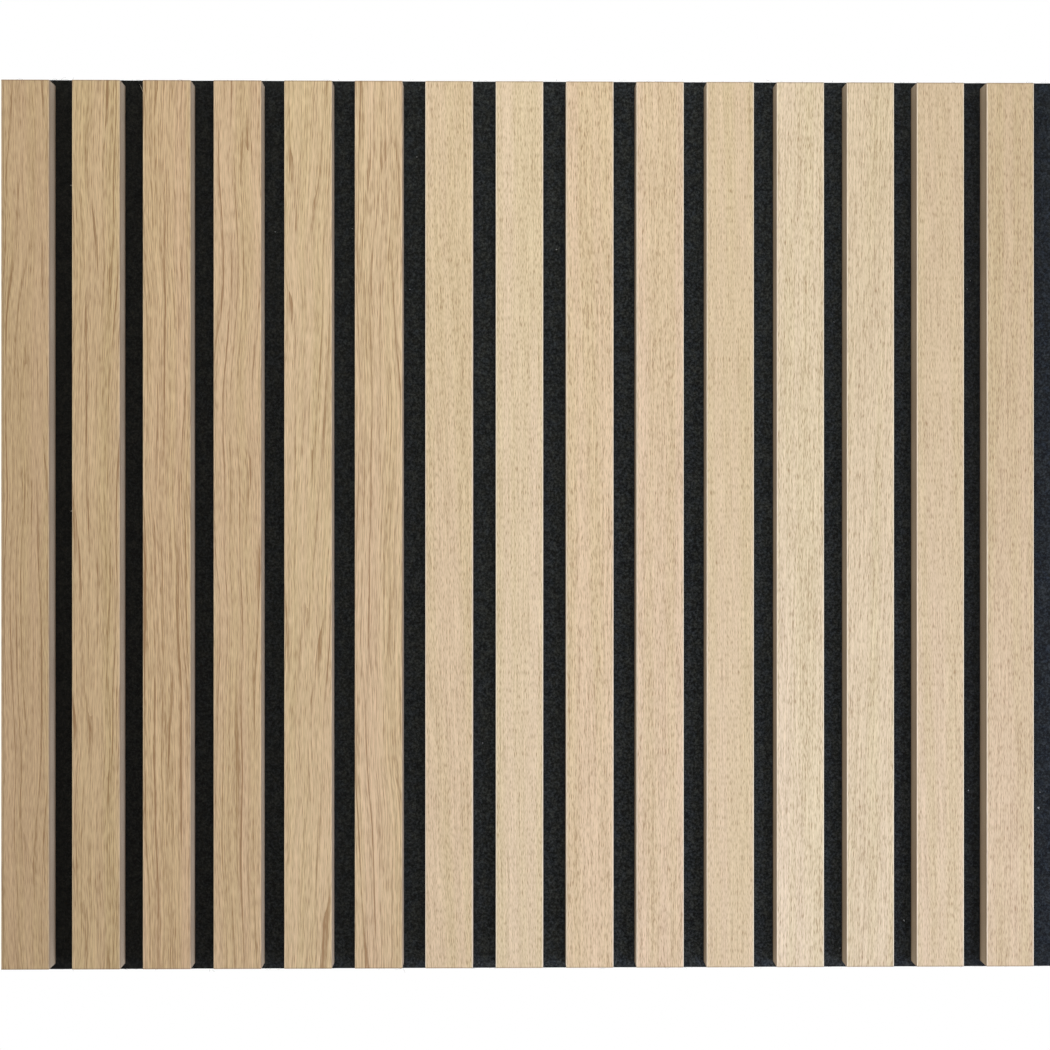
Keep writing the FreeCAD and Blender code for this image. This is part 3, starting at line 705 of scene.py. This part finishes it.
def staple_tree():
    """A flat wire swept round a crown and two legs, with rounded bends, at each staple's place."""
    tree, given = new_tree("staples", {
        "Staples across": "Int", "Staples up": "Int", "Pitch": "Float", "Rise": "Float",
        "First staple": "Float", "Crown": "Float", "Length": "Float", "Wire width": "Float",
        "Wire depth": "Float", "Bend": "Float", "Turn": "Float", "Seed": "Int", "Material": "Material"})
    half_wire = add_node(tree, "ShaderNodeMath", {"operation": "MULTIPLY"}, {
        0: given.outputs["Wire depth"], 1: 0.5})
    reach = add_node(tree, "ShaderNodeMath", {"operation": "MULTIPLY_ADD"}, {
        0: given.outputs["Crown"], 1: 0.5, 2: add_node(tree, "ShaderNodeMath", {"operation": "MULTIPLY"}, {
            0: half_wire, 1: -1.0})})
    corners = []
    for side, depth in ((-1.0, given.outputs["Length"]), (-1.0, half_wire), (1.0, half_wire),
                        (1.0, given.outputs["Length"])):
        corners.append(add_node(tree, "ShaderNodeCombineXYZ", inputs={
            0: add_node(tree, "ShaderNodeMath", {"operation": "MULTIPLY"}, {0: reach, 1: side}),
            1: add_node(tree, "ShaderNodeMath", {"operation": "MULTIPLY"}, {0: depth, 1: -1.0})}))
    closed = add_node(tree, "GeometryNodeCurvePrimitiveQuadrilateral", {"mode": "POINTS"}, {
        f"Point {k}": corner for k, corner in enumerate(corners, 1)})
    line = add_node(tree, "GeometryNodeSetSplineCyclic", inputs={"Geometry": closed, "Cyclic": False})
    bend = add_node(tree, "ShaderNodeMath", {"operation": "SUBTRACT"}, {
        0: given.outputs["Bend"], 1: half_wire})
    bent = add_node(tree, "GeometryNodeFilletCurve", {"mode": "POLY"}, {
        "Curve": line, "Count": 3, "Radius": bend})
    upright = add_node(tree, "GeometryNodeSetCurveNormal", {"mode": "Z_UP"}, {"Curve": bent})
    section = add_node(tree, "GeometryNodeCurvePrimitiveQuadrilateral", inputs={
        "Width": given.outputs["Wire depth"], "Height": given.outputs["Wire width"]})
    rounding = add_node(tree, "ShaderNodeMath", {"operation": "MULTIPLY"}, {
        0: given.outputs["Wire depth"], 1: wire_edge})
    soft_section = add_node(tree, "GeometryNodeFilletCurve", {"mode": "POLY"}, {
        "Curve": section, "Count": 2, "Radius": rounding})
    wire = add_node(tree, "GeometryNodeCurveToMesh", inputs={
        "Curve": upright, "Profile Curve": soft_section, "Fill Caps": True})
    least = add_node(tree, "ShaderNodeMath", {"operation": "MULTIPLY"}, {0: given.outputs["Turn"], 1: -1.0})
    turn = add_node(tree, "FunctionNodeRandomValue", {"data_type": "FLOAT"}, {
        2: least, 3: given.outputs["Turn"], "Seed": given.outputs["Seed"]})
    copies = add_node(tree, "GeometryNodeInstanceOnPoints", inputs={
        "Points": staple_places(tree, given), "Instance": wire,
        "Rotation": add_node(tree, "ShaderNodeCombineXYZ", inputs={1: turn.outputs[1]})})
    end_tree(tree, copies, given.outputs["Material"])
    return tree


staples = grow("staples", staple_tree(), {
    "Staples across": slat_count, "Staples up": staple_rows, "Pitch": slat_pitch,
    "Rise": staple_row_rise, "First staple": first_slat_middle, "Crown": staple_crown,
    "Length": staple_length, "Wire width": wire_width, "Wire depth": wire_depth, "Bend": wire_bend,
    "Turn": staple_turn, "Seed": 8, "Material": staple_material()})
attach(staples, "root")
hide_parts("back_staples")

# Lint and splinters
# Specks of pale lint caught in the felt between the slats, a hair-thin sliver of oak that hangs
# off the third slat's top corner, and two tiny splinters on the second slat's left edge.
lint_strands = 5
lint_spread = 0.3  # shares of a speck's size
lint_lift = 0.12
lint_bulk = (1.0, 0.3, 0.25)
felt_front = -felt_thickness / mm
lint = [  # across and up in mm, then size
    (292.6, -163.7, 1.0), (293.6, -154.8, 0.35), (-66.8, 211.8, 0.45), (-148.1, 168.5, 0.45),
    (-104.0, 170.4, 0.4), (-61.6, 119.4, 0.5), (-70.8, 135.5, 0.35), (13.6, 158.7, 0.5),
    (251.3, 136.4, 0.45), (253.1, 141.0, 0.35), (174.1, 117.1, 0.4), (214.7, -228.7, 0.6),
    (177.6, -244.7, 0.4), (251.9, -153.8, 0.45), (-28.9, -125.8, 0.45)]
splinters = [  # middle, way and size (length, width, thickness), in mm
    ((-221.4, -20.6, 246.1), (-2.5, 0.1, 5.6), (6.3, 0.3, 0.22)),
    ((-261.5, -20.9, 192.2), (-1.0, -0.2, 0.5), (1.3, 0.34, 0.3)),
    ((-261.4, -20.9, 7.9), (-1.0, -0.1, -0.4), (1.1, 0.3, 0.3))]


def strand_material(name, colour, rough):
    """A thin loose fibre, a little uneven in shade along its length."""
    material, tree, surface, place = new_material(name)
    uneven = add_node(tree, "ShaderNodeTexNoise", inputs={"Vector": place, "Scale": 2.0, "Detail": 1.0})
    dark = [part * 0.7 for part in linear(colour)[:3]] + [1.0]
    shade = add_node(tree, "ShaderNodeValToRGB", {"stops": [
        (0.35, dark), (0.65, linear(colour))]}, {0: uneven})
    tree.links.new(shade.outputs[0], surface.inputs["Base Color"])
    surface.inputs["Roughness"].default_value = rough
    return material


def strand_tree():
    """A bowed, tapered strand at each point, along its own way and of its own size."""
    tree, given = new_tree("strands", {"Places": "Geometry", "Material": "Material"})
    bow = add_node(tree, "GeometryNodeCurveQuadraticBezier", inputs={
        "Resolution": 5, "Start": (-0.5, 0.0, 0.0), "Middle": (0.0, 1.6, 0.9), "End": (0.5, 0.0, 0.0)})
    along = add_node(tree, "GeometryNodeSplineParameter")
    taper = add_node(tree, "ShaderNodeMapRange", inputs={
        "Value": along.outputs["Factor"], "To Min": 1.0, "To Max": 0.3})
    section = add_node(tree, "GeometryNodeCurvePrimitiveCircle", inputs={"Resolution": 4, "Radius": 0.5})
    strand = add_node(tree, "GeometryNodeCurveToMesh", inputs={
        "Curve": bow, "Profile Curve": section, "Scale": taper, "Fill Caps": True})
    way, size = (add_node(tree, "GeometryNodeInputNamedAttribute", {"data_type": "FLOAT_VECTOR"}, {
        "Name": label}) for label in ("way", "size"))
    aimed = add_node(tree, "FunctionNodeAlignRotationToVector", {"axis": "X"}, {"Vector": way})
    strands = add_node(tree, "GeometryNodeInstanceOnPoints", inputs={
        "Points": given.outputs["Places"], "Instance": strand, "Rotation": aimed, "Scale": size})
    end_tree(tree, strands, given.outputs["Material"])
    return tree


def places_mesh(name, strands):
    """A mesh of bare points, each with its way and size, from lists in mm."""
    mesh = bpy.data.meshes.new(name)
    mesh.from_pydata([[value * mm for value in place] for place, way, size in strands], [], [])
    for label, column, scale in (("way", 1, 1.0), ("size", 2, mm)):
        values = [value * scale for strand in strands for value in strand[column]]
        mesh.attributes.new(label, "FLOAT_VECTOR", "POINT").data.foreach_set("vector", values)
    return mesh


chance = random.Random(5)
lint_list = []
for across_mm, up_mm, lint_size in lint:
    for _ in range(lint_strands):
        spot = (across_mm + chance.uniform(-lint_spread, lint_spread) * lint_size,
                felt_front - lint_lift * lint_size,
                up_mm + chance.uniform(-lint_spread, lint_spread) * lint_size)
        way = (chance.uniform(-1, 1), chance.uniform(-0.25, 0.25), chance.uniform(-1, 1))
        lint_list.append((spot, way, [share * lint_size for share in lint_bulk]))
strands_tree = strand_tree()
for name, strands, slot, finish in (
        ("felt_lint", lint_list, "felt", strand_material("pale textile lint", "#C6C8CD", 0.7)),
        ("oak_splinters", splinters, "oak_veneer", strand_material("bare oak splinter", "#E6D8C0", 0.6))):
    loose = grow(name, strands_tree, {"Material": finish}, start=places_mesh(name, strands))
    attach(loose, "root")

# Studio
# A white sweep with a pale floor below the hanging panel, soft lamps above, at both sides and
# low on the right, where the light is bluer, and the camera square on, near the middle.
floor_drop = 0.3
floor_half = 3.0
floor_fade = (580.0, 820.0)  # mm from the panel's middle
floor_mesh = bpy.data.meshes.new("floor")
floor_level = packed_low.z - floor_drop
floor_mesh.from_pydata(
    [(sx * floor_half, sy * floor_half, floor_level) for sx, sy in ((-1, -1), (1, -1), (1, 1), (-1, 1))],
    [], [(0, 1, 2, 3)])
floor = bpy.data.objects.new("floor", floor_mesh)
bpy.context.scene.collection.objects.link(floor)


def seen_directly(tree):
    """A factor of 1 for the camera, mirrors and glass, so that they see plain white."""
    path = add_node(tree, "ShaderNodeLightPath")
    first = add_node(tree, "ShaderNodeMath", {"operation": "MAXIMUM"}, {
        0: path.outputs["Is Camera Ray"], 1: path.outputs["Is Glossy Ray"]})
    return add_node(tree, "ShaderNodeMath", {"operation": "MAXIMUM"}, {
        0: first, 1: path.outputs["Is Transmission Ray"]})


def floor_material():
    """Matt pale studio vinyl, which fades into the white sweep away from the panel."""
    material, tree, surface, place = new_material("pale studio vinyl")
    surface.inputs["Base Color"].default_value = linear("#F1F0EE")
    surface.inputs["Roughness"].default_value = 0.9
    distance = add_node(tree, "ShaderNodeVectorMath", {"operation": "LENGTH"}, {0: place})
    faded = add_node(tree, "ShaderNodeMapRange", {"interpolation_type": "SMOOTHSTEP"}, {
        "Value": distance.outputs["Value"], "From Min": floor_fade[0], "From Max": floor_fade[1]})
    amount = add_node(tree, "ShaderNodeMath", {"operation": "MULTIPLY"}, {0: faded, 1: seen_directly(tree)})
    white = add_node(tree, "ShaderNodeEmission", inputs={"Strength": 1.0})
    mixed = add_node(tree, "ShaderNodeMixShader", inputs={0: amount, 1: surface, 2: white})
    output = next(n for n in tree.nodes if n.type == "OUTPUT_MATERIAL")
    tree.links.new(mixed.outputs[0], output.inputs["Surface"])
    return material


floor_mesh.materials.append(floor_material())

ambient = 0.3
world = bpy.data.worlds.new("white sweep")
world.use_nodes = True
world.node_tree.nodes.clear()
fill = add_node(world.node_tree, "ShaderNodeBackground", inputs={"Strength": ambient})
sweep = add_node(world.node_tree, "ShaderNodeBackground", inputs={"Strength": 1.0})
for light in (fill, sweep):
    light.inputs["Color"].default_value = (1.0, 1.0, 1.0, 1.0)
both = add_node(world.node_tree, "ShaderNodeMixShader", inputs={
    0: seen_directly(world.node_tree), 1: fill, 2: sweep})
add_node(world.node_tree, "ShaderNodeOutputWorld", inputs={"Surface": both})
bpy.context.scene.world = world

lamps = {  # place and size in m, watts, colour
    "top lamp": ((0.0, -1.05, 0.95), 0.8, 9.5, "#FCFFFB"),
    "side lamp": ((1.05, -1.35, 0.35), 1.1, 0.6, "#FBFCFF"),
    "low lamp": ((0.62, -0.72, -0.42), 0.4, 6.8, "#D6E0FF"),
    "left lamp": ((-0.6, -1.08, 0.3), 0.8, 1.2, "#FFF8EE"),
}
for name, (place, size, watts, colour) in lamps.items():
    lamp = bpy.data.lights.new(name, "AREA")
    lamp.size = size
    lamp.energy = watts
    lamp.color = linear(colour)[:3]
    holder = bpy.data.objects.new(name, lamp)
    holder.location = place
    holder.rotation_euler = (-Vector(place)).to_track_quat("-Z", "Y").to_euler()
    holder.visible_camera = False
    bpy.context.scene.collection.objects.link(holder)

lens = 50.32
camera_place = (-0.0137, -0.8551, -0.0002)
camera_turn = 0.0109
camera = bpy.data.objects.new("camera", bpy.data.cameras.new("camera"))
camera.data.lens = lens
camera.data.clip_start = 0.01
camera.location = camera_place
camera.rotation_euler = (math.pi / 2, 0.0, -camera_turn)
bpy.context.scene.collection.objects.link(camera)
bpy.context.scene.camera = camera
bpy.context.scene.view_settings.view_transform = "Standard"
